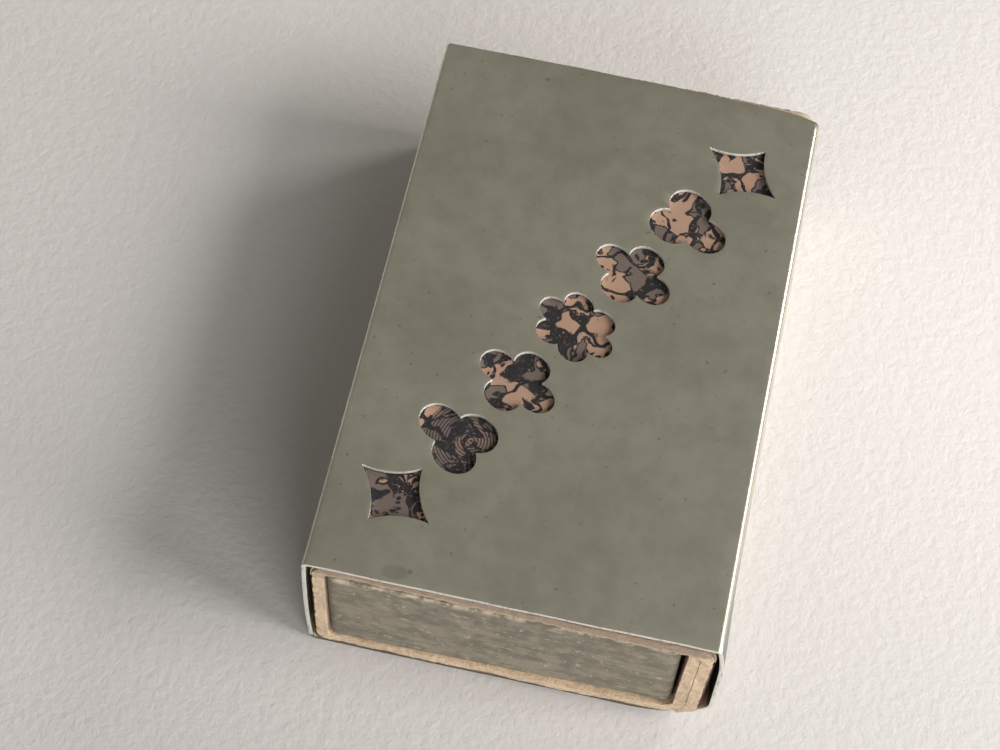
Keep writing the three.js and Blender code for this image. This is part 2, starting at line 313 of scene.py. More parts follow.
def makeLineMarkGroup():  # one scratch between two points of the plate
    tree, given, made = startGroup(
        "lineMark", "ShaderNodeTree",
        [("Vector", "Vector"), ("Start", "Vector", (0, 0, 0)), ("End", "Vector", (1, 0, 0)),
         ("Width", "Float", 0.0001)], [("Mask", "Float")])
    wobble = place(tree, "ShaderNodeTexNoise", {"Vector": given["Vector"], "Scale": 260.0, "Detail": 2.0})
    shake = vectorMath(tree, "SCALE", wobble.outputs["Color"], scale=0.00035)
    here = vectorMath(tree, "ADD", given["Vector"], shake)
    run = vectorMath(tree, "SUBTRACT", given["End"], given["Start"])
    reach = vectorMath(tree, "SUBTRACT", here, given["Start"])
    share = calc(tree, "DIVIDE", vectorMath(tree, "DOT_PRODUCT", reach, run),
                 vectorMath(tree, "DOT_PRODUCT", run, run))
    nearest = vectorMath(tree, "SCALE", run, scale=result(tree, "ShaderNodeClamp", {"Value": share}))
    away = vectorMath(tree, "LENGTH", vectorMath(tree, "SUBTRACT", reach, nearest))
    mask = place(tree, "ShaderNodeMapRange",
                 {"Value": away, "From Min": 0.0, "From Max": given["Width"], "To Min": 1.0, "To Max": 0.0})
    tree.links.new(mask.outputs[0], made.inputs["Mask"])
    return tree


fibreMat = makeFibreGroup()
hairlines = makeHairlineGroup()
lineMark = makeLineMarkGroup()
print("shared effects ready")


# Silver
silverPlan = {
    "colour": (0.78, 0.745, 0.63, 1), "dull": (0.66, 0.625, 0.52, 1), "speck": (0.40, 0.375, 0.315, 1),
    "bright": (0.86, 0.85, 0.80, 1), "paintedShade": (0.20, 0.20, 0.20, 1), "roughness": 0.30,
    "scratches": [  # start, end, width, brightness
        ((7.0, 3.5), (9.4, -10.9), 0.07, -0.45), ((-2.6, -15.9), (-1.9, -18.2), 0.10, -0.7),
        ((4.6, -6.0), (5.3, -6.4), 0.13, 0.8), ((5.9, -14.6), (6.6, -14.4), 0.12, 0.9),
        ((0.9, -16.0), (1.4, -15.3), 0.11, 0.8), ((-7.6, 2.9), (-5.3, -0.6), 0.05, 0.35),
        ((1.6, 19.0), (5.2, 15.8), 0.05, 0.25), ((12.2, 1.0), (12.5, -16.0), 0.05, 0.2)],
    "hairlines": [  # stretch, turn in degrees, density
        ((2600, 55, 55), 4, 0.70), ((70, 2300, 70), 34, 0.71)],
    "hairShade": 0.14, "hairDepth": 0.10, "specks": 0.7, "mottling": 0.26,
    "smudge": (-10.9, -28.0), "smudgeSize": 1.5, "smudgeStretch": 1.7, "smudgeShade": 0.38,
    # Painted shade on the front part of the right wall: its colour, its inset from the side, its run along the
    # wall and its strength
    "paintedShadeInset": (0.8, 0.45), "paintedShadeAlong": (-14, -27), "paintedShadeStrength": 0.9,
}


def makeSilver():
    plan = silverPlan
    material, tree, shader, where = startMaterial("wornSilver")
    cloudy = noiseOf(tree, where, 75.0, 5.0, 0.6)
    blotch = noiseOf(tree, where, 420.0, 5.0, 0.62)
    colour = mixColour(tree, band(tree, cloudy, 0.40, 0.62), plan["colour"], plan["dull"])
    specks = band(tree, noiseOf(tree, where, 1500.0, 2.0, 0.5), 0.69, 0.76)
    colour = tinted(tree, colour, specks, plan["specks"], plan["speck"])
    colour = tinted(tree, colour, band(tree, blotch, 0.35, 0.7), plan["mottling"], plan["speck"])
    lengthways, slanted = (
        useGroup(tree, hairlines, {"Vector": stretched(tree, where, stretch, (0, 0, turn)), "Density": density})
        for stretch, turn, density in plan["hairlines"])
    hair = calc(tree, "MAXIMUM", lengthways["Mask"], slanted["Mask"])
    colour = tinted(tree, colour, hair, plan["hairShade"], plan["bright"])
    dents = times(tree, hair, plan["hairDepth"])
    nearPlate = stretched(tree, where, (1, 1, 0.1))  # the plate dips a little, and a mark still lies on it
    plateTop = 0.1 * caseHeight * mm
    for start, end, width, brightness in plan["scratches"]:
        mark = useGroup(tree, lineMark, {
            "Vector": nearPlate, "Width": width * mm,
            "Start": (start[0] * mm, start[1] * mm, plateTop),
            "End": (end[0] * mm, end[1] * mm, plateTop)})["Mask"]
        tone = plan["bright"] if brightness > 0 else plan["speck"]
        colour = tinted(tree, colour, mark, abs(brightness), tone)
        dents = calc(tree, "MAXIMUM", dents, mark)
    stretch, (smudgeX, smudgeY) = plan["smudgeStretch"], plan["smudge"]
    smudge = vectorMath(tree, "DISTANCE", stretched(tree, where, (1, stretch, 0)),
                        (smudgeX * mm, stretch * smudgeY * mm, 0))
    ring = band(tree, smudge, plan["smudgeSize"] * mm, 0.6 * plan["smudgeSize"] * mm)
    colour = tinted(tree, colour, ring, plan["smudgeShade"], plan["speck"])
    across, along, _ = split(tree, where)
    # Painted shade: the outer face of the right wall is darkened over its front part, towards the front end.
    nearSide = band(tree, across, *((sleeveHigh.x - inset) * mm for inset in plan["paintedShadeInset"]))
    paintedShadeMask = times(tree, nearSide, band(tree, along, *(y * mm for y in plan["paintedShadeAlong"])))
    colour = tinted(tree, colour, paintedShadeMask, plan["paintedShadeStrength"], plan["paintedShade"])
    rough = calc(tree, "MULTIPLY_ADD", cloudy, 0.16, plan["roughness"] - 0.08)
    height = calc(tree, "SUBTRACT", times(tree, blotch, 0.35), times(tree, dents, 0.6))
    values = {"Base Color": colour, "Roughness": rough, "Metallic": 1.0}
    return finishMaterial(material, shader, values, height, 0.00002, 0.6)


# foot is the colour of a painted shade on the cut faces near the floor
filedPlan = {"colour": (0.72, 0.70, 0.65, 1), "dark": (0.48, 0.46, 0.41, 1), "foot": (0.13, 0.11, 0.09, 1),
             "roughness": 0.62}


def makeFiledSilver():  # the sawn and filed faces of the sheet
    plan = filedPlan
    material, tree, shader, where = startMaterial("filedSilver")
    strokes = noiseOf(tree, stretched(tree, where, (2500, 2500, 500)), 1.0, 3.0)
    colour = mixColour(tree, band(tree, strokes, 0.5, 0.72), plan["colour"], plan["dark"])
    height = split(tree, where)[2]
    # Painted shade: near the floor the cut faces are painted dark, as the shade at the foot of the sheet.
    colour = mixColour(tree, band(tree, height, 1.0 * mm, 0.45 * mm), colour, plan["foot"])
    values = {"Base Color": colour, "Roughness": plan["roughness"], "Metallic": 0.6}
    return finishMaterial(material, shader, values, strokes, 0.00003, 0.5)


# Card, papers, wood and paste
cardPlan = {"cut": (0.50, 0.34, 0.21, 1), "pale": (0.70, 0.53, 0.36, 1), "dirt": (0.27, 0.18, 0.12, 1),
            "topDark": (0.19, 0.135, 0.10, 1), "dirtShade": 0.5, "clumps": 0.5, "seamWander": 0.9,
            "ridgeLight": 0.35, "topDarkStrength": 0.75, "topDarkDrop": (2.2, 1.5)}


def makeCard():
    plan = cardPlan
    material, tree, shader, where = startMaterial("pulpCard")
    fibre = useGroup(tree, fibreMat, {"Vector": where, "Scale": 1500.0, "Tangle": 2.2})
    colour = mixColour(tree, band(tree, fibre["Height"], 0.38, 0.60), plan["cut"], plan["pale"])
    patch = band(tree, noiseOf(tree, where, 420.0, 5.0, 0.62), 0.50, 0.70)
    colour = tinted(tree, colour, patch, plan["dirtShade"], plan["dirt"])
    clump = band(tree, noiseOf(tree, where, 1900.0, 3.0, 0.6), 0.60, 0.70)
    colour = tinted(tree, colour, clump, plan["clumps"], plan["pale"])
    ply = place(tree, "ShaderNodeAttribute", attribute_name="ply").outputs["Fac"]
    sway = plan["seamWander"]
    wander = calc(tree, "MULTIPLY_ADD", noiseOf(tree, where, 450.0, 3.0), sway, -sway / 2)
    seam = calc(tree, "ABSOLUTE", calc(tree, "ADD", calc(tree, "SUBTRACT", ply, 0.5), wander))
    ridge = times(tree, band(tree, seam, 0.16, 0.02), band(tree, fibre["Height"], 0.35, 0.55))
    colour = tinted(tree, colour, ridge, plan["ridgeLight"], plan["pale"])
    height = split(tree, where)[2]
    # The card is darker towards the top, in the band under the plate.
    nearTop = band(tree, height, *((caseHeight - drop) * mm for drop in plan["topDarkDrop"]))
    colour = tinted(tree, colour, nearTop, plan["topDarkStrength"], plan["topDark"])
    height = calc(tree, "ADD", fibre["Height"], times(tree, clump, 0.4))
    values = {"Base Color": colour, "Roughness": 0.95, "Sheen Weight": 0.12}
    return finishMaterial(material, shader, values, height, 0.0002, 1.0)


printPlan = {"paper": (0.30, 0.19, 0.135, 1), "mauve": (0.115, 0.088, 0.076, 1),
             "ink": (0.016, 0.015, 0.017, 1), "worn": (0.26, 0.18, 0.125, 1), "rim": (0.40, 0.33, 0.235, 1),
             "centre": (-7.2, -13.6), "engraved": 5.6, "lineGap": 0.36, "stretch": 1.25, "drift": 0.0045,
             "fanShade": 0.7, "fanInk": 0.85, "wornShare": 0.25, "rimInset": (1.2, 0.6)}


def makePrint():  # a plain marbled ground with thick flourishes and a fan of engraved lines, drawn by noise
    plan = printPlan
    material, tree, shader, where = startMaterial("printedPaper")
    stretch, (centreX, centreY) = plan["stretch"], plan["centre"]
    flat = stretched(tree, where, (stretch, stretch, 0.4))
    drift = place(tree, "ShaderNodeTexNoise", {"Vector": flat, "Scale": 190.0, "Detail": 2.0})
    warp = vectorMath(tree, "SCALE", drift.outputs["Color"], scale=plan["drift"])
    warped = vectorMath(tree, "ADD", flat, warp)
    zone = noiseOf(tree, warped, 230.0, 3.0, 0.5)
    colour = mixColour(tree, band(tree, zone, 0.49, 0.55), plan["paper"], plan["mauve"])
    bold = band(tree, distanceFrom(tree, noiseOf(tree, warped, 300.0, 1.0, 0.4), 0.5), 0.050, 0.036)
    outline = band(tree, distanceFrom(tree, zone, 0.52), 0.020, 0.010)
    pools = band(tree, noiseOf(tree, warped, 430.0, 2.0, 0.5), 0.56, 0.60)
    dots = place(tree, "ShaderNodeTexVoronoi", {"Vector": warped, "Scale": 900.0, "Randomness": 0.7})
    stipple = times(tree, band(tree, dots.outputs["Distance"], 0.36, 0.26),
                    band(tree, noiseOf(tree, flat, 260.0, 1.0), 0.52, 0.56))
    away = vectorMath(tree, "SUBTRACT", flat, (stretch * centreX * mm, stretch * centreY * mm, 0))
    radius = vectorMath(tree, "LENGTH", vectorMath(tree, "MULTIPLY", away, (1, 1, 0)))
    waves = calc(tree, "SINE", times(tree, radius, 2 * math.pi / (plan["lineGap"] * mm)))
    inFan = band(tree, radius, plan["engraved"] * mm, (plan["engraved"] - 0.25) * mm)
    fan = times(tree, band(tree, waves, -0.1, 0.5), inFan)
    colour = tinted(tree, colour, inFan, plan["fanShade"], plan["mauve"])
    scroll = calc(tree, "MAXIMUM", calc(tree, "MAXIMUM", bold, pools), outline)
    ink = calc(tree, "MAXIMUM", calc(tree, "MAXIMUM", scroll, stipple), times(tree, fan, plan["fanInk"]))
    worn = noiseOf(tree, where, 2600.0, 4.0, 0.7)
    ink = times(tree, ink, band(tree, worn, 0.28, 0.44))
    colour = mixColour(tree, ink, colour, plan["ink"])
    colour = tinted(tree, colour, band(tree, worn, 0.55, 0.75), plan["wornShare"], plan["worn"])
    along = calc(tree, "ABSOLUTE", split(tree, where)[1])
    along = calc(tree, "ADD", along, times(tree, worn, 0.6 * mm))
    bare = band(tree, along, *((sleeveHigh.y - inset) * mm for inset in plan["rimInset"]))
    colour = mixColour(tree, bare, colour, plan["rim"])
    fibre = useGroup(tree, fibreMat, {"Vector": where, "Scale": 2200.0})
    values = {"Base Color": colour, "Roughness": 0.85, "Specular IOR Level": 0.2}
    return finishMaterial(material, shader, values, fibre["Height"], 0.00005, 0.7)


strikerPlan = {"coat": (0.050, 0.028, 0.024, 1), "grit": (0.14, 0.085, 0.07, 1)}


def makeStriker():
    plan = strikerPlan
    material, tree, shader, where = startMaterial("strikerCoat")
    cells = place(tree, "ShaderNodeTexVoronoi", {"Vector": where, "Scale": 4200.0}).outputs["Distance"]
    streak = noiseOf(tree, stretched(tree, where, (900, 45, 900)), 1.0, 3.0)
    colour = mixColour(tree, band(tree, cells, 0.25, 0.6), plan["grit"], plan["coat"])
    colour = mixColour(tree, band(tree, streak, 0.55, 0.75, 0.0, 0.5), colour, plan["grit"])
    return finishMaterial(material, shader, {"Base Color": colour, "Roughness": 0.9}, cells, 0.00006, 0.8)


trayPlan = {"paper": (0.24, 0.207, 0.155, 1), "shade": (0.145, 0.130, 0.095, 1), "scuff": (0.46, 0.40, 0.31, 1),
            "raw": (0.52, 0.44, 0.33, 1), "scuffs": 0.6, "rubbed": 0.8, "rimDrop": (0.9, 0.2)}


def makeTrayPaper():
    plan = trayPlan
    material, tree, shader, where = startMaterial("trayPaper")
    streak = noiseOf(tree, stretched(tree, where, (140, 400, 900), (0, 2, 0)), 1.0, 6.0, 0.68)
    mottle = noiseOf(tree, where, 700.0, 5.0, 0.65)
    tone = calc(tree, "ADD", times(tree, streak, 0.45), times(tree, mottle, 0.55))
    colour = mixColour(tree, band(tree, tone, 0.40, 0.60), plan["shade"], plan["paper"])
    field = noiseOf(tree, where, 230.0, 3.0, 0.6)
    dash = noiseOf(tree, stretched(tree, where, (420, 420, 2300), (0, 4, 0)), 1.0, 3.0, 0.6)
    scuff = times(tree, band(tree, dash, 0.58, 0.68), band(tree, field, 0.46, 0.60))
    nick = band(tree, noiseOf(tree, where, 1500.0, 2.0, 0.5), 0.66, 0.72)
    colour = tinted(tree, colour, scuff, plan["scuffs"], plan["scuff"])
    colour = tinted(tree, colour, nick, plan["scuffs"], plan["scuff"])
    height = split(tree, where)[2]
    rim = band(tree, height, *((trayTop - drop) * mm for drop in plan["rimDrop"]))
    rubbed = times(tree, rim, band(tree, mottle, 0.42, 0.60))
    colour = tinted(tree, colour, rubbed, plan["rubbed"], plan["raw"])
    fibre = useGroup(tree, fibreMat, {"Vector": where, "Scale": 2300.0})
    height = calc(tree, "ADD", fibre["Height"], mottle)
    return finishMaterial(material, shader, {"Base Color": colour, "Roughness": 0.78}, height, 0.00006, 0.8)


woodPlan = {"early": (0.80, 0.62, 0.38, 1), "late": (0.58, 0.40, 0.21, 1)}


def makeWood():
    plan = woodPlan
    material, tree, shader, where = startMaterial("splitWood")
    grain = noiseOf(tree, stretched(tree, where, (2600, 60, 2600)), 1.0, 4.0, 0.6)
    colour = mixColour(tree, band(tree, grain, 0.40, 0.66), plan["early"], plan["late"])
    return finishMaterial(material, shader, {"Base Color": colour, "Roughness": 0.75}, grain, 0.00006, 0.8)


pastePlan = {"crust": (0.30, 0.055, 0.038, 1), "dust": (0.47, 0.16, 0.12, 1)}


def makePaste():
    plan = pastePlan
    material, tree, shader, where = startMaterial("headPaste")
    crumbs = noiseOf(tree, where, 3600.0, 4.0, 0.65)
    colour = mixColour(tree, band(tree, crumbs, 0.45, 0.68), plan["crust"], plan["dust"])
    return finishMaterial(material, shader, {"Base Color": colour, "Roughness": 0.88}, crumbs, 0.00008, 0.9)


_, sleeveHigh = (toMm(v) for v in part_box("case_sleeve"))
caseHeight = sleeveHigh.z
trayTop = toMm(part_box("tray")[1]).z
silver, filedSilver, card, printed = makeSilver(), makeFiledSilver(), makeCard(), makePrint()
striker, trayPaper, wood, paste = makeStriker(), makeTrayPaper(), makeWood(), makePaste()
print("materials ready")


# Silver sleeve
sleevePlan = {
    "sheet": 0.4, "topFold": 0.6, "leftFoot": 1.0, "leftBow": 0.15,
    "splay": 0.5, "splayInside": 0.24, "splayRun": 9.0, "splayTop": 11.0, "splayCurve": 2.5,
    "softFootWidth": 7.5, "softFootHeight": 4.4, "softFootFullness": 1.8,
    "wornWidth": 16.5, "wornShoulder": 3.0, "wornDepth": 0.45, "wornCorner": 1.1,
    "rowSpacing": 1.0, "endWaver": 0.06, "plateDip": 0.05, "edgeRound": 0.08,
    "windowPost": 6.0, "windowSill": 4.8, "windowHead": 13.6, "windowCorner": 1.2,
    "foldSteps": 8, "footSteps": 16, "splaySteps": 6, "wallSteps": 10, "plateSteps": 30, "floorSteps": 20,
    "shoulderCurve": 1.4, "cornerCurve": 1.5, "waverSize": 4.0, "waverRows": 3, "dipSize": 13.0, "dipBand": 0.5,
    "windowReach": (1, 1.2),
}
plateMiddle = (sleevePlan["leftBow"] - sleevePlan["splay"]) / 2
halfWidth = sleeveHigh.x - plateMiddle - sleevePlan["splay"]
halfLength = sleeveHigh.y


def softFoot(wallX, steps):
    plan = sleevePlan
    power = 2 / plan["softFootFullness"]
    points = []
    for i in range(steps + 1):
        angle = math.pi / 2 * i / steps
        points.append(Vector((wallX - plan["softFootWidth"] * (1 - math.sin(angle) ** power),
                              plan["softFootHeight"] * (1 - abs(math.cos(angle)) ** power))))
    return points


def sleeveLoop(splay):  # the outer face, anticlockwise from the lower right bend
    plan = sleevePlan
    side, top = halfWidth, caseHeight - plan["topFold"]
    fold, foot, steps = plan["topFold"], plan["leftFoot"], plan["foldSteps"]
    rightTop = arcPoints(side - fold, top, fold, 0, 90, steps)
    leftTop = arcPoints(-side + fold, top, fold, 90, 180, steps)
    leftBottom = arcPoints(-side + foot, foot, foot, 180, 270, steps)
    loop = softFoot(side + splay, plan["footSteps"])
    footTop, splayTop = loop[-1].copy(), Vector((loop[-1].x, plan["splayTop"]))
    loop += [footTop.lerp(splayTop, i / plan["splaySteps"]) for i in range(1, plan["splaySteps"] + 1)]
    loop += bulgingWall(side, plan["splayTop"], top, lambda share: splay * (1 - share ** plan["splayCurve"]),
                        plan["wallSteps"] - 1)
    loop += rightTop + straightPoints(rightTop[-1], leftTop[0], plan["plateSteps"]) + leftTop
    loop += bulgingWall(-side, top, foot, lambda share: -4 * plan["leftBow"] * share * (1 - share),
                        plan["wallSteps"])
    loop += leftBottom + straightPoints(leftBottom[-1], loop[0], plan["floorSteps"])
    return [p + Vector((plateMiddle, 0)) for p in loop]


def wornEnd(x):  # how much shorter the back end is at x
    plan = sleevePlan
    fromRight = halfWidth + plateMiddle - x
    if fromRight > plan["wornShoulder"]:
        share = max(0.0, 1 - (fromRight - plan["wornShoulder"]) / (plan["wornWidth"] - plan["wornShoulder"]))
        return plan["wornDepth"] * share ** plan["shoulderCurve"]
    share = 1 - max(fromRight, 0) / plan["wornShoulder"]
    return plan["wornDepth"] + (plan["wornCorner"] - plan["wornDepth"]) * share ** plan["cornerCurve"]


def makeSleeveTube():
    plan = sleevePlan
    rows = round(2 * halfLength / plan["rowSpacing"])
    vertices, faces = [], []
    count = len(sleeveLoop(0))
    for row in range(rows + 1):
        share = row / rows
        away = min(1.0, share * 2 * halfLength / plan["splayRun"])
        splay = plan["splay"] + (plan["splayInside"] - plan["splay"]) * away * away * (3 - 2 * away)
        outside = sleeveLoop(splay)
        inside = besideLine(outside + outside[:1], -plan["sheet"])[:-1]
        nearEnd = max(0.0, 1 - min(share, 1 - share) * rows / plan["waverRows"])
        for loop in (outside, inside):
            for p in loop:
                y = -halfLength + (2 * halfLength - wornEnd(p.x)) * share
                waver = plan["endWaver"] * nearEnd * unevenness(p.x, y, p.y, plan["waverSize"], 1.7)
                lift = plan["plateDip"] * unevenness(p.x, y, 0, plan["dipSize"], 5.1)
                lift = lift if p.y > caseHeight - plan["dipBand"] else 0
                vertices.append((p.x, y + (waver if share < 0.5 else -waver), p.y + min(lift, 0)))
    ring = 2 * count
    for row in range(rows):
        for i in range(count):
            nextI = (i + 1) % count
            a, b = row * ring, (row + 1) * ring
            faces.append((a + i, b + i, b + nextI, a + nextI))
            faces.append((a + count + i, a + count + nextI, b + count + nextI, b + count + i))
    for i in range(count):
        nextI = (i + 1) % count
        faces.append((i, nextI, count + nextI, count + i))
        last = rows * ring
        faces.append((last + i, last + count + i, last + count + nextI, last + nextI))
    return recalculated(makeObject("silverSleeve", vertices, faces, silver))


# Piercings: flowers with six, four and three lobes from the middle out, and a star at each end
piercePlan = {
    "insetAcross": 6.2, "insetAlong": 7.9, "pitch": 8.0, "reach": 4.25, "spread": 3.5,
    "lobes": {6: 0.36, 4: 0.44, 3: 0.52}, "starWaist": 0.3, "sawWaver": 0.05,
    "cutterReach": 1.2, "cutterDepth": 0.25, "plateBand": 0.5, "sideBand": 1.2, "lobeSteps": 16, "armSteps": 10,
}


def lobedOutline(lobes, radius):
    offset, half = 1 - radius, math.pi / lobes
    reach = offset * math.cos(half) + math.sqrt(radius ** 2 - (offset * math.sin(half)) ** 2)
    cusp = math.degrees(math.atan2(reach * math.sin(half), reach * math.cos(half) - offset))
    points = []
    for i in range(lobes):
        middle = math.degrees(2 * half * i)
        centre = Matrix.Rotation(math.radians(middle), 2) @ Vector((offset, 0))
        points += arcPoints(centre.x, centre.y, radius, middle - cusp, middle + cusp,
                            piercePlan["lobeSteps"])[:-1]
    return points


def starOutline():
    points = []
    for arm in range(4):
        tip = Matrix.Rotation(arm * math.pi / 2, 2) @ Vector((1, 0))
        after = Matrix.Rotation((arm + 1) * math.pi / 2, 2) @ Vector((1, 0))
        control = (tip + after) * piercePlan["starWaist"]
        for k in range(piercePlan["armSteps"]):
            share = k / piercePlan["armSteps"]
            points.append(tip * (1 - share) ** 2 + control * 2 * share * (1 - share) + after * share ** 2)
    return points


def makeMotifs():  # one cutter for each kind, in a collection that the node tree picks from
    kinds = bpy.data.collections.new("motifKinds")
    scene.collection.children.link(kinds)
    plan = piercePlan
    outlines = [lobedOutline(n, r) for n, r in plan["lobes"].items()] + [starOutline()]
    for i, outline in enumerate(outlines):
        sized = [Vector((p.x * plan["reach"], p.y * plan["spread"])) for p in outline]
        cutter = makeObject(f"motif{i}", *prism(sized, -plan["cutterReach"], plan["cutterReach"]), silver)
        scene.collection.objects.unlink(cutter)
        kinds.objects.link(cutter)
    return kinds


def makeWindowCutters():  # a window in each side wall, so that a match can be struck
    plan = sleevePlan
    vertices, faces = [], []
    inwards, outwards = plan["windowReach"]
    post = halfLength - plan["windowPost"]
    window = roundedRectangle(-post, post, plan["windowSill"], plan["windowHead"], plan["windowCorner"], 6)
    for side in (-1, 1):
        cutAt = [side * reach + plateMiddle for reach in (halfWidth - inwards, halfWidth + outwards)]
        standing, windowFaces = prism(window, *sorted(cutAt))
        faces += [[len(vertices) + i for i in face] for face in windowFaces]
        vertices += [(z, x, y) for x, y, z in standing]
    return recalculated(makeObject("windowCutters", vertices, faces, silver))


def makePierceTree():
    tree, given, out = startGroup(
        "pierceRow", "GeometryNodeTree",
        [("Geometry", "Geometry"), ("Motif Kinds", "Collection"), ("Window Cutters", "Object"), ("Count", "Int"),
         ("Pitch", "Float"), ("Row Angle", "Float"), ("Middle", "Vector"), ("Saw Waver", "Float"),
         ("Seed", "Float"), ("Plate Top", "Float"), ("Half Width", "Float"), ("Sheet Material", "Material"),
         ("Cut Material", "Material")], [("Geometry", "Geometry")])
    half = times(tree, calc(tree, "SUBTRACT", given["Count"], 1.0), 0.5)
    step = result(tree, "ShaderNodeCombineXYZ", {
        0: times(tree, given["Pitch"], calc(tree, "COSINE", given["Row Angle"])),
        1: times(tree, given["Pitch"], calc(tree, "SINE", given["Row Angle"]))})
    back = vectorMath(tree, "SCALE", step, scale=times(tree, half, -1.0))
    start = vectorMath(tree, "ADD", given["Middle"], back)
    row = place(tree, "GeometryNodeMeshLine", {
        "Count": given["Count"], "Start Location": start, "Offset": step}, mode="OFFSET")

    index = result(tree, "GeometryNodeInputIndex")
    fromMiddle = calc(tree, "SUBTRACT", index, half)
    kindIndex = calc(tree, "MINIMUM", calc(tree, "ABSOLUTE", fromMiddle), 3.0)
    flip = times(tree, calc(tree, "LESS_THAN", fromMiddle, -0.5), math.pi)
    turn = calc(tree, "ADD", calc(tree, "SUBTRACT", given["Row Angle"], math.pi / 2), flip)
    rotation = result(tree, "ShaderNodeCombineXYZ", {2: turn})
    kinds = place(tree, "GeometryNodeCollectionInfo", {
        "Collection": given["Motif Kinds"], "Separate Children": True, "Reset Children": True})
    placed = place(tree, "GeometryNodeInstanceOnPoints", {
        "Points": row.outputs[0], "Instance": kinds.outputs[0], "Pick Instance": True,
        "Instance Index": kindIndex, "Rotation": rotation})
    cutters = place(tree, "GeometryNodeRealizeInstances", {"Geometry": placed.outputs[0]})

    spot = result(tree, "GeometryNodeInputPosition")
    flatSpot = vectorMath(tree, "MULTIPLY", spot, (1, 1, 0))
    jitter = place(tree, "ShaderNodeTexNoise", {
        "Vector": flatSpot, "W": given["Seed"], "Scale": 700.0, "Detail": 1.0}, noise_dimensions="4D")
    centred = vectorMath(tree, "SUBTRACT", jitter.outputs["Color"], (0.5, 0.5, 0.5))
    flatJitter = vectorMath(tree, "MULTIPLY", centred, (1, 1, 0))
    offset = vectorMath(tree, "SCALE", flatJitter, scale=given["Saw Waver"])
    sawn = place(tree, "GeometryNodeSetPosition", {"Geometry": cutters.outputs[0], "Offset": offset})
    windows = place(tree, "GeometryNodeObjectInfo", {"Object": given["Window Cutters"]})
    cut = place(tree, "GeometryNodeMeshBoolean", {"Mesh 1": given["Geometry"]},
                operation="DIFFERENCE", solver="EXACT")
    tree.links.new(sawn.outputs[0], cut.inputs["Mesh 2"])
    tree.links.new(windows.outputs["Geometry"], cut.inputs["Mesh 2"])
    whole = place(tree, "GeometryNodeRealizeInstances", {"Geometry": cut.outputs[0]})
    sheet = result(tree, "GeometryNodeSetMaterial", {
        "Geometry": whole.outputs[0], "Material": given["Sheet Material"]})
    facing = split(tree, result(tree, "GeometryNodeInputNormal"))
    spots = split(tree, spot)
    isEnd = calc(tree, "GREATER_THAN", calc(tree, "ABSOLUTE", facing[1]), 0.7)
    isUpright = calc(tree, "LESS_THAN", calc(tree, "ABSOLUTE", facing[2]), 0.5)
    isPlate = calc(tree, "GREATER_THAN", spots[2], given["Plate Top"])
    isInside = calc(tree, "LESS_THAN", calc(tree, "ABSOLUTE", spots[0]), given["Half Width"])
    isPierced = times(tree, times(tree, isUpright, isPlate), isInside)
    isCut = calc(tree, "GREATER_THAN", calc(tree, "ADD", isEnd, isPierced), 0.5)
    finished = place(tree, "GeometryNodeSetMaterial", {
        "Geometry": sheet, "Material": given["Cut Material"], "Selection": isCut})
    tree.links.new(finished.outputs[0], out.inputs[0])
    return tree


def makeSleeve():
    plan = piercePlan
    tube = makeSleeveTube()
    kinds, windows = makeMotifs(), makeWindowCutters()
    reach = Vector((halfWidth - plan["insetAcross"], halfLength - plan["insetAlong"]))
    pairs = math.floor(reach.length / plan["pitch"] + 1e-6)
    pierce = tube.modifiers.new("pierce", "NODES")
    pierce.node_group = makePierceTree()
    for name, value in (("Motif Kinds", kinds), ("Window Cutters", windows), ("Count", 2 * pairs + 1),
                        ("Pitch", plan["pitch"] * mm), ("Row Angle", math.atan2(reach.y, reach.x)),
                        ("Middle", (plateMiddle * mm, 0.0, (caseHeight - plan["cutterDepth"]) * mm)),
                        ("Saw Waver", plan["sawWaver"] * mm), ("Seed", 4.0),
                        ("Plate Top", (caseHeight - plan["plateBand"]) * mm),
                        ("Half Width", (halfWidth - plan["sideBand"]) * mm),
                        ("Sheet Material", silver), ("Cut Material", filedSilver)):
        modifierInput(pierce, name, value)
    bevel = tube.modifiers.new("softEdges", "BEVEL")
    bevel.width, bevel.segments = sleevePlan["edgeRound"] * mm, 2
    bevel.limit_method, bevel.angle_limit = "ANGLE", math.radians(50)
    frozen(tube)
    shadeSmooth(tube, 32)
    for cutter in [*kinds.objects, windows]:
        bpy.data.objects.remove(cutter)
    bpy.data.collections.remove(kinds)
    return tube


silverSleeve = makeSleeve()
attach(silverSleeve, "case")
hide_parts("case_sleeve")
print("sleeve ready:", len(silverSleeve.data.polygons), "faces")


# Card strips: the cover and its papers follow one folded line
coverLow, coverHigh = (toMm(v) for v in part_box("box_cover"))
coverPlan = {
    "card": 1.08, "bend": 0.95, "footBend": 2.0, "lapGap": 0.06, "lean": 0.45, "floorRise": 0.8,
    "lapSweep": 52.0, "lapThin": 0.5, "spacing": 0.3, "rows": 46, "layers": 5,
    "raggedEnd": 0.13, "fuzz": 0.06, "topSwell": 0.16, "skew": 0.13, "leftSetBack": 0.3, "setBackFrom": 8,
    "setBackRun": 24, "wornTop": 0.22, "wornFrom": 4, "wornRun": 12, "endReach": 1.2, "endRows": (0.35, 0.9),
    "evenRows": 1.6, "raggedSizes": (3.2, 0.9), "fuzzSize": 0.35, "roughSize": 0.28, "roughShare": 1.6,
    "topFrom": 0.7, "topRun": 0.5, "frontShare": 0.35, "lineSteps": 12, "paperSpacing": 0.5,
    "paper": 0.15, "glue": 0.05, "paperWear": 0.28, "labelDrop": 2.1, "strikerRise": 2.6, "strikerGap": 0.5,
}
leftWallX = coverLow.x + coverPlan["card"] / 2
topPanelZ = coverHigh.z - coverPlan["card"] / 2
leftFloorZ = coverLow.z + coverPlan["card"] / 2
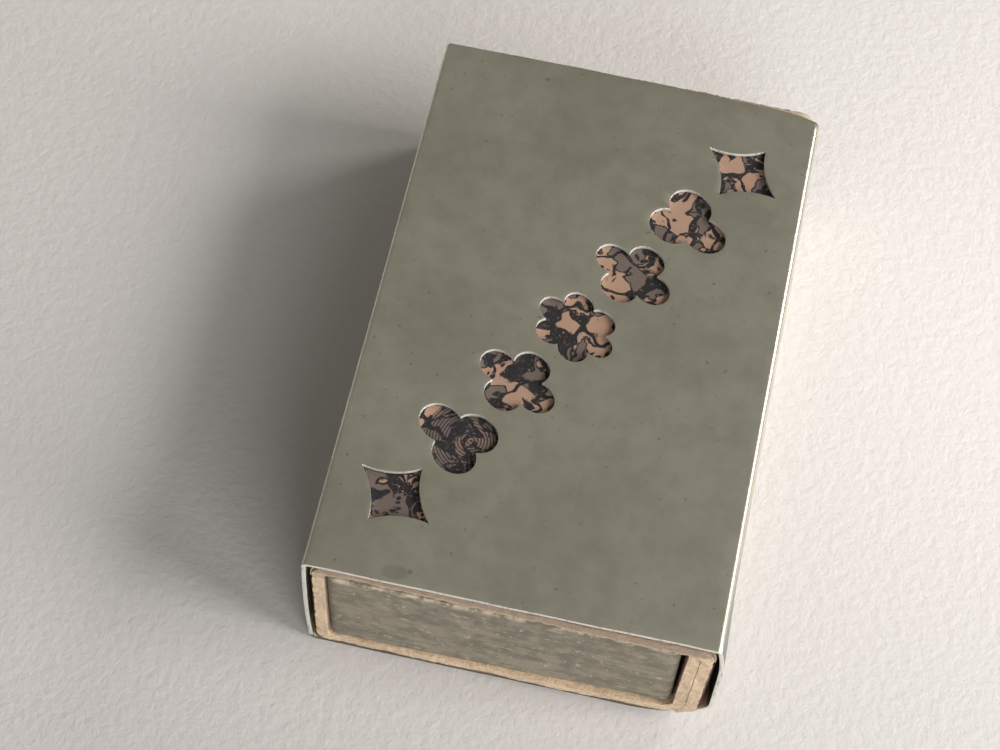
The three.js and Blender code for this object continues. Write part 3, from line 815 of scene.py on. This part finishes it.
rightFloorZ = leftFloorZ + coverPlan["floorRise"]
lapPitch = coverPlan["card"] + coverPlan["lapGap"]


def lappedWallX(z, layer):
    lean = coverPlan["lean"] * (coverHigh.z - z) / (coverHigh.z - coverLow.z)
    return coverHigh.x - coverPlan["card"] / 2 - lean - layer * lapPitch


def coverLine():  # the middle of the card, and for each point its share of the full thickness
    plan = coverPlan
    flapTop = coverHigh.z - lapPitch
    corners = [(lappedWallX(flapTop, 1), flapTop), (lappedWallX(rightFloorZ, 1), rightFloorZ),
               (leftWallX, leftFloorZ), (leftWallX, topPanelZ),
               (lappedWallX(topPanelZ, 0), topPanelZ), (lappedWallX(rightFloorZ, 0), rightFloorZ)]
    steps = plan["lineSteps"]
    line = bentLine([Vector(c) for c in corners], [plan["footBend"]] + 3 * [plan["bend"]], steps)
    covered = round(steps * plan["lapSweep"] / 90)
    footArc = line[1:covered + 2]
    outer = []
    for i, p in enumerate(besideLine(footArc, -lapPitch)):  # the flap thins out towards its end
        thinning = (1 - plan["lapThin"]) * (i / covered) ** 1.5
        outer.append((footArc[i].lerp(p, 1 - thinning * 0.5 * plan["card"] / lapPitch), 1 - thinning))
    spaced = spacedLine(line[:-1] + [outer[0][0]], plan["spacing"])
    return spaced + [p for p, share in outer[1:]], [1.0] * len(spaced) + [share for p, share in outer[1:]]


def labelLine():
    foot = coverHigh.z - coverPlan["labelDrop"]
    corners = [(leftWallX, foot), (leftWallX, topPanelZ),
               (lappedWallX(topPanelZ, 0), topPanelZ), (lappedWallX(foot, 0), foot)]
    return spacedLine(bentLine([Vector(c) for c in corners], 2 * [coverPlan["bend"]], 10),
                      coverPlan["paperSpacing"])


def strikerLine(side):
    head = coverHigh.z - coverPlan["labelDrop"] - coverPlan["strikerGap"]
    foot = coverLow.z + coverPlan["strikerRise"]
    if side < 0:
        corners = [(leftWallX, foot), (leftWallX, head)]
    else:
        corners = [(lappedWallX(head, 0), head), (lappedWallX(foot, 0), foot)]
    return spacedLine([Vector(c) for c in corners], coverPlan["paperSpacing"])


def worn(x, y, z):  # the box is pushed askew, its top swells up to the plate and its front edge is worn
    plan = coverPlan
    middle, half = (coverHigh.z + coverLow.z) / 2, (coverHigh.z - coverLow.z) / 2
    y += plan["skew"] * (z - middle) / half
    if y < 0:
        y += plan["leftSetBack"] * held((plan["setBackFrom"] - x) / plan["setBackRun"])
    across = min(1.0, abs(x - plateMiddle) / (coverHigh.x - plateMiddle))
    top = held((z - topPanelZ + plan["topFrom"]) / plan["topRun"])
    if y < -halfLength + 1:
        leftShare = held((plan["wornFrom"] - x) / plan["wornRun"]) * (1 - across ** 8)
        y += plan["wornTop"] * top * (plan["frontShare"] + (1 - plan["frontShare"]) * leftShare)
    return x, y, z + plan["topSwell"] * top * (1 - across ** 4)


# near and far are the strip's two faces, measured sideways from the line
def makeStrip(name, line, thickness, near, far, layers, ragged, fuzz, seed, material, setBack=0.0):
    plan = coverPlan
    front, back, rows = coverLow.y + setBack, coverHigh.y - setBack, plan["rows"]
    wide, fine = plan["raggedSizes"]
    vertices, ply, sides = [], [], []
    for k in range(layers + 1):
        full = besideLine(line, near + (far - near) * k / layers)
        sides.append([p.lerp(q, share) for p, q, share in zip(line, full, thickness)])
    last = len(line) - 1
    ring = [(i, 0) for i in range(last + 1)] + [(last, k) for k in range(1, layers)]
    ring += [(i, layers) for i in range(last, -1, -1)] + [(0, k) for k in range(layers - 1, 0, -1)]
    inner = [(i, k) for i in range(1, last) for k in range(1, layers)]

    def addPoint(i, k, y, atEnd):
        p = sides[k][i]
        waver = ragged * (unevenness(p.x, y, p.y, wide, seed) + 0.5 * unevenness(p.x, y, p.y, fine, seed))
        inwards = 1 if y < 0 else -1
        shiftX, shiftZ = (fuzz * unevenness(p.x, y, p.y, plan["fuzzSize"], seed + k) * atEnd for k in (3, 7))
        rough = fuzz * plan["roughShare"] * unevenness(p.x, y, p.y, plan["roughSize"], seed + 11) * (atEnd == 1)
        vertices.append(worn(p.x + shiftX, y + inwards * (waver + rough) * atEnd, p.y + shiftZ))
        ply.append(k / layers)
        return len(vertices) - 1

    ends, inset = plan["endRows"], plan["evenRows"]  # rows close to each cut end, and where the even ones begin
    ys = [front, *[front + e for e in ends]]
    ys += [front + inset + (back - front - 2 * inset) * k / rows for k in range(rows + 1)]
    ys += [*[back - e for e in reversed(ends)], back]
    rings = []
    for y in ys:
        atEnd = max(0.0, 1 - min(y - front, back - y) / plan["endReach"])
        rings.append([addPoint(i, k, y, atEnd) for i, k in ring])
    faces = bridged(rings)
    for ringIndices, y, flip in ((rings[0], front, False), (rings[-1], back, True)):
        cap = dict(zip(ring, ringIndices))
        for i, k in inner:
            cap[(i, k)] = addPoint(i, k, y, 1)
        for i in range(last):
            for k in range(layers):
                quad = [cap[(i, k)], cap[(i, k + 1)], cap[(i + 1, k + 1)], cap[(i + 1, k)]]
                faces.append(tuple(reversed(quad)) if flip else tuple(quad))
    made = makeObject(name, vertices, faces, material)
    stored = made.data.attributes.new("ply", "FLOAT", "POINT")
    stored.data.foreach_set("value", ply)
    recalculated(made)
    shadeSmooth(made, 55)
    return made


def makePaper(name, node, line, seed, material):
    near = coverPlan["card"] / 2 + coverPlan["glue"]
    made = makeStrip(name, line, [1.0] * len(line), -near, -near - coverPlan["paper"], 1, 0.2, 0.0, seed,
                     material, coverPlan["paperWear"])
    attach(made, "matchbox")
    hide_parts(node)


coverMiddle, coverThickness = coverLine()
pulpCover = makeStrip("pulpCover", coverMiddle, coverThickness, coverPlan["card"] / 2, -coverPlan["card"] / 2,
                      coverPlan["layers"], coverPlan["raggedEnd"], coverPlan["fuzz"], 2.0, card)
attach(pulpCover, "matchbox")
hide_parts("box_cover")
makePaper("printedLabel", "cover_label", labelLine(), 9.0, printed)
makePaper("roughStripLeft", "striker_left", strikerLine(-1), 5.0, striker)
makePaper("roughStripRight", "striker_right", strikerLine(1), 6.0, striker)
print("cover and papers ready:", len(pulpCover.data.polygons), "faces")


# Tray
trayLow, trayHigh = (toMm(v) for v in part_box("tray"))
trayShape = {"floor": 0.9, "wall": 0.9, "end": 1.1, "corner": 0.8, "rimWaver": 0.12, "bulge": 0.08,
             "leftDrop": 1.45, "rightDrop": 0.5, "leftReach": 0.16, "dropRun": 1.25, "cornerSteps": 6,
             "panelCuts": 24, "longSide": 6.0, "lip": 0.12, "lipCorners": (0.7, 0.45), "waverSize": 5.0,
             "footInset": 0.35, "footCorner": 0.6, "footRise": 0.3}


def makeTray():
    plan = trayShape

    def loop(insetX, insetY, radius):
        outline = roundedRectangle(trayLow.x + insetX, trayHigh.x - insetX,
                                   trayLow.y + insetY, trayHigh.y - insetY, radius, plan["cornerSteps"])
        points = []
        for here, there in zip(outline, outline[1:] + outline[:1]):
            cuts = plan["panelCuts"] if (there - here).length > plan["longSide"] else 1
            points += [here.lerp(there, k / cuts) for k in range(cuts)]
        return points

    outer = loop(0, 0, plan["corner"])
    inner = loop(plan["wall"], plan["end"], plan["corner"] / 2)
    floorZ, lip = trayLow.z + plan["floor"], plan["lip"]
    foot = loop(plan["footInset"], plan["footInset"], plan["footCorner"])
    levels = [(foot, trayLow.z), (outer, trayLow.z + plan["footRise"])]
    levels += [(outer, trayLow.z + (trayHigh.z - trayLow.z) * s) for s in (0.25, 0.5, 0.75)]
    outerCorner, innerCorner = plan["lipCorners"]
    levels += [(outer, trayHigh.z - lip), (loop(lip, lip, outerCorner), trayHigh.z),
               (loop(plan["wall"] - lip, plan["end"] - lip, innerCorner), trayHigh.z),
               (inner, trayHigh.z - lip), (inner, (trayHigh.z + floorZ) / 2), (inner, floorZ)]
    vertices = []
    for points, z in levels:
        tall = (z - trayLow.z) / (trayHigh.z - trayLow.z)
        for p in points:
            waver = plan["rimWaver"] * unevenness(p.x, p.y, 0, plan["waverSize"], 6.0) * (tall ** 3)
            swell = 1 - abs(2 * tall - 1)
            bulge = plan["bulge"] * swell * (1 - (p.x / trayLow.x) ** 2) * (1 if p.y < 0 else -1)
            onEnd = abs(abs(p.y) - trayHigh.y) < 0.01
            across = (trayHigh.x - p.x) / (trayHigh.x - trayLow.x)
            lean = (plan["leftDrop"] - plan["rightDrop"]) * min(1, plan["dropRun"] * across)
            drop = (plan["rightDrop"] + lean) * (1 - tall)
            vertices.append((p.x - plan["leftReach"] * across, p.y + (bulge if onEnd else 0),
                             z - drop + min(waver, 0)))
    count = len(outer)
    rings = [range(level * count, (level + 1) * count) for level in range(len(levels))]
    faces = bridged(rings) + [[*reversed(rings[0])], [*rings[-1]]]
    made = recalculated(makeObject("slidingTray", vertices, faces, trayPaper))
    shadeSmooth(made, 40)
    return made


slidingTray = makeTray()
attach(slidingTray, "drawer")
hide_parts("tray")
print("tray ready")


# Matches
sticks = sorted(n for n in frame["nodes"] if n.startswith("match_stick"))
heads = sorted(n for n in frame["nodes"] if n.startswith("match_head"))
matchPlan = {"wrap": 1.6, "roll": 6.0, "waver": 0.05, "crust": 0.10, "seed": 7, "grain": 1500.0, "setBack": -0.2}


def makeMatchTree():
    tree, given, out = startGroup(
        "matchRows", "GeometryNodeTree",
        [("Geometry", "Geometry"), ("Stick Size", "Vector"), ("Head Size", "Vector"), ("Roll", "Float"),
         ("Waver", "Float"), ("Crust", "Float"), ("Seed", "Int"), ("Wood", "Material"), ("Paste", "Material")],
        [("Geometry", "Geometry")])
    size = split(tree, given["Stick Size"])
    stick = result(tree, "GeometryNodeMeshCube", {
        "Size": given["Stick Size"], "Vertices X": 3, "Vertices Y": 24, "Vertices Z": 3})
    ahead = result(tree, "ShaderNodeCombineXYZ", {1: times(tree, size[1], 0.5)})
    stick = result(tree, "GeometryNodeTransform", {"Geometry": stick, "Translation": ahead})
    stick = result(tree, "GeometryNodeSetMaterial", {"Geometry": stick, "Material": given["Wood"]})
    ball = result(tree, "GeometryNodeMeshIcoSphere", {"Radius": 0.5, "Subdivisions": 4})
    headLength = split(tree, given["Head Size"])[1]
    behind = result(tree, "ShaderNodeCombineXYZ", {1: times(tree, headLength, matchPlan["setBack"])})
    head = result(tree, "GeometryNodeTransform", {
        "Geometry": ball, "Scale": given["Head Size"], "Translation": behind})
    head = result(tree, "GeometryNodeSetMaterial", {"Geometry": head, "Material": given["Paste"]})
    both = place(tree, "GeometryNodeJoinGeometry")
    tree.links.new(stick, both.inputs[0])
    tree.links.new(head, both.inputs[0])

    roll = place(tree, "FunctionNodeRandomValue", {"Seed": given["Seed"]}, data_type="FLOAT")
    span = [s for s in roll.inputs if s.type == "VALUE" and s.enabled]
    tree.links.new(times(tree, given["Roll"], -1.0), span[0])
    tree.links.new(given["Roll"], span[1])
    turned = [s for s in roll.outputs if s.type == "VALUE" and s.enabled][0]
    rotation = result(tree, "ShaderNodeCombineXYZ", {1: turned})
    rows = place(tree, "GeometryNodeInstanceOnPoints", {
        "Points": given["Geometry"], "Instance": both.outputs[0], "Rotation": rotation})
    real = place(tree, "GeometryNodeRealizeInstances", {"Geometry": rows.outputs[0]})
    spot = result(tree, "GeometryNodeInputPosition")
    rough = place(tree, "ShaderNodeTexNoise", {"Vector": spot, "Scale": matchPlan["grain"], "Detail": 2.0})
    centred = vectorMath(tree, "SUBTRACT", rough.outputs["Color"], (0.5, 0.5, 0.5))
    isHead = result(tree, "GeometryNodeMaterialSelection", {"Material": given["Paste"]})
    amount = result(tree, "GeometryNodeSwitch", {0: isHead, 1: given["Waver"], 2: given["Crust"]},
                    input_type="FLOAT")
    offset = vectorMath(tree, "SCALE", centred, scale=amount)
    moved = place(tree, "GeometryNodeSetPosition", {"Geometry": real.outputs[0], "Offset": offset})
    tree.links.new(moved.outputs[0], out.inputs[0])
    return tree


def makeMatches():
    plan = matchPlan
    places = []
    for stick in sticks:
        low, high = (toMm(v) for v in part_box(stick))
        places.append(((low.x + high.x) / 2, low.y, (low.z + high.z) / 2))
    stickSize = toMm(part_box(sticks[0])[1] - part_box(sticks[0])[0])
    headSize = toMm(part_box(heads[0])[1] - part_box(heads[0])[0])
    made = makeObject("matches", places, [], wood)
    rows = made.modifiers.new("matchRows", "NODES")
    rows.node_group = makeMatchTree()
    for name, value in (("Stick Size", [v * mm for v in stickSize]),
                        ("Head Size", (headSize.x * mm, (headSize.y + plan["wrap"]) * mm, headSize.z * mm)),
                        ("Roll", math.radians(plan["roll"])), ("Waver", 2 * plan["waver"] * mm),
                        ("Crust", 2 * plan["crust"] * mm), ("Seed", plan["seed"]),
                        ("Wood", wood), ("Paste", paste)):
        modifierInput(rows, name, value)
    frozen(made)
    shadeSmooth(made, 40)
    return made


matches = makeMatches()
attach(matches, "drawer")
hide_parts(*sticks, *heads)
print("matches ready:", len(matches.data.polygons), "faces")


# Floor, lights and camera
studioPlan = {
    # The second floor colour and its span paint shade onto the floor towards the front.
    "floor": (0.62, 0.595, 0.58, 1), "paintedShadeFloor": (0.34, 0.325, 0.32, 1), "grain": (0.50, 0.46, 0.43, 1),
    "floorSize": 900.0, "paintedShadeSpan": (25, -50), "overhead": (0.25, 0.245, 0.22, 1),
    "horizon": (0.20, 0.196, 0.185, 1), "background": (0.86, 0.85, 0.83, 1),
    "lamps": [  # name, place, size, power, colour
        ("keySoftbox", (390.0, -60.0, 215.0), (310.0, 230.0), 3.1, (1.0, 0.975, 0.94)),
        ("edgeSoftbox", (300.0, 215.0, 255.0), (70.0, 110.0), 0.5, (1.0, 0.98, 0.95)),
        ("fillSoftbox", (170.0, -300.0, 190.0), (220.0, 220.0), 1.0, (0.96, 0.98, 1.0))],
}


def makeFloor():
    size = studioPlan["floorSize"]
    material, tree, shader, where = startMaterial("paleTable")
    grain = noiseOf(tree, where, 900.0, 5.0, 0.65)
    # Painted shade: the floor is painted darker towards the front, for the light falling off there.
    near = band(tree, split(tree, where)[1], *(y * mm for y in studioPlan["paintedShadeSpan"]), 0.0, 0.55)
    tone = mixColour(tree, near, studioPlan["floor"], studioPlan["paintedShadeFloor"])
    tone = mixColour(tree, band(tree, grain, 0.3, 0.7, 0.0, 0.18), tone, studioPlan["grain"])
    finishMaterial(material, shader, {"Base Color": tone, "Roughness": 0.9}, grain, 0.00025, 0.55)
    corners = [(-size, -size, 0), (size, -size, 0), (size, size, 0), (-size, size, 0)]
    makeObject("paleFloor", corners, [(0, 1, 2, 3)], material)


def makeLamp(name, spot, size, power, colour):
    lamp = bpy.data.lights.new(name, "AREA")
    lamp.shape, lamp.size, lamp.size_y = "RECTANGLE", size[0] * mm, size[1] * mm
    lamp.energy, lamp.color = power, colour
    made = bpy.data.objects.new(name, lamp)
    across = Vector((spot[0], spot[1], 0)).normalized()  # the second side lies level
    facing = Vector(spot).normalized()
    level = Vector((-across.y, across.x, 0))
    turn = Matrix((level.cross(facing), level, facing)).transposed()
    made.matrix_world = Matrix.Translation(Vector(spot) * mm) @ turn.to_4x4()
    scene.collection.objects.link(made)


def makeWorld():
    world = bpy.data.worlds.new("studio")
    world.use_nodes = True
    scene.world = world
    tree = world.node_tree
    background = tree.nodes["Background"]
    direction = place(tree, "ShaderNodeTexCoord").outputs["Generated"]
    up = split(tree, direction)[2]
    sky = mixColour(tree, band(tree, up, 0.15, 0.62), studioPlan["horizon"], studioPlan["overhead"])
    seen = place(tree, "ShaderNodeLightPath").outputs["Is Camera Ray"]
    tree.links.new(mixColour(tree, seen, sky, studioPlan["background"]), background.inputs["Color"])


cameraPlan = {"lens": 84.39, "aim": (-6.01, -6.59, 17.5), "azimuth": 9.05, "elevation": 61.91,
              "roll": 3.58, "distance": 216.6}


def makeCamera():
    plan = cameraPlan
    azimuth, elevation = math.radians(plan["azimuth"]), math.radians(plan["elevation"])
    back = Vector((math.sin(azimuth) * math.cos(elevation), -math.cos(azimuth) * math.cos(elevation),
                   math.sin(elevation)))
    data = bpy.data.cameras.new("photoView")
    data.lens, data.sensor_width = plan["lens"], 36
    data.clip_start, data.clip_end = 0.01, 10
    made = bpy.data.objects.new("photoView", data)
    made.location = (Vector(plan["aim"]) + back * plan["distance"]) * mm
    made.rotation_mode = "QUATERNION"
    turn = Quaternion((0, 0, 1), math.radians(plan["roll"]))
    made.rotation_quaternion = (-back).to_track_quat("-Z", "Y") @ turn
    scene.collection.objects.link(made)
    scene.camera = made


makeFloor()
makeWorld()
for lampValues in studioPlan["lamps"]:
    makeLamp(*lampValues)
makeCamera()
scene.view_settings.view_transform = "Standard"
print("studio ready")
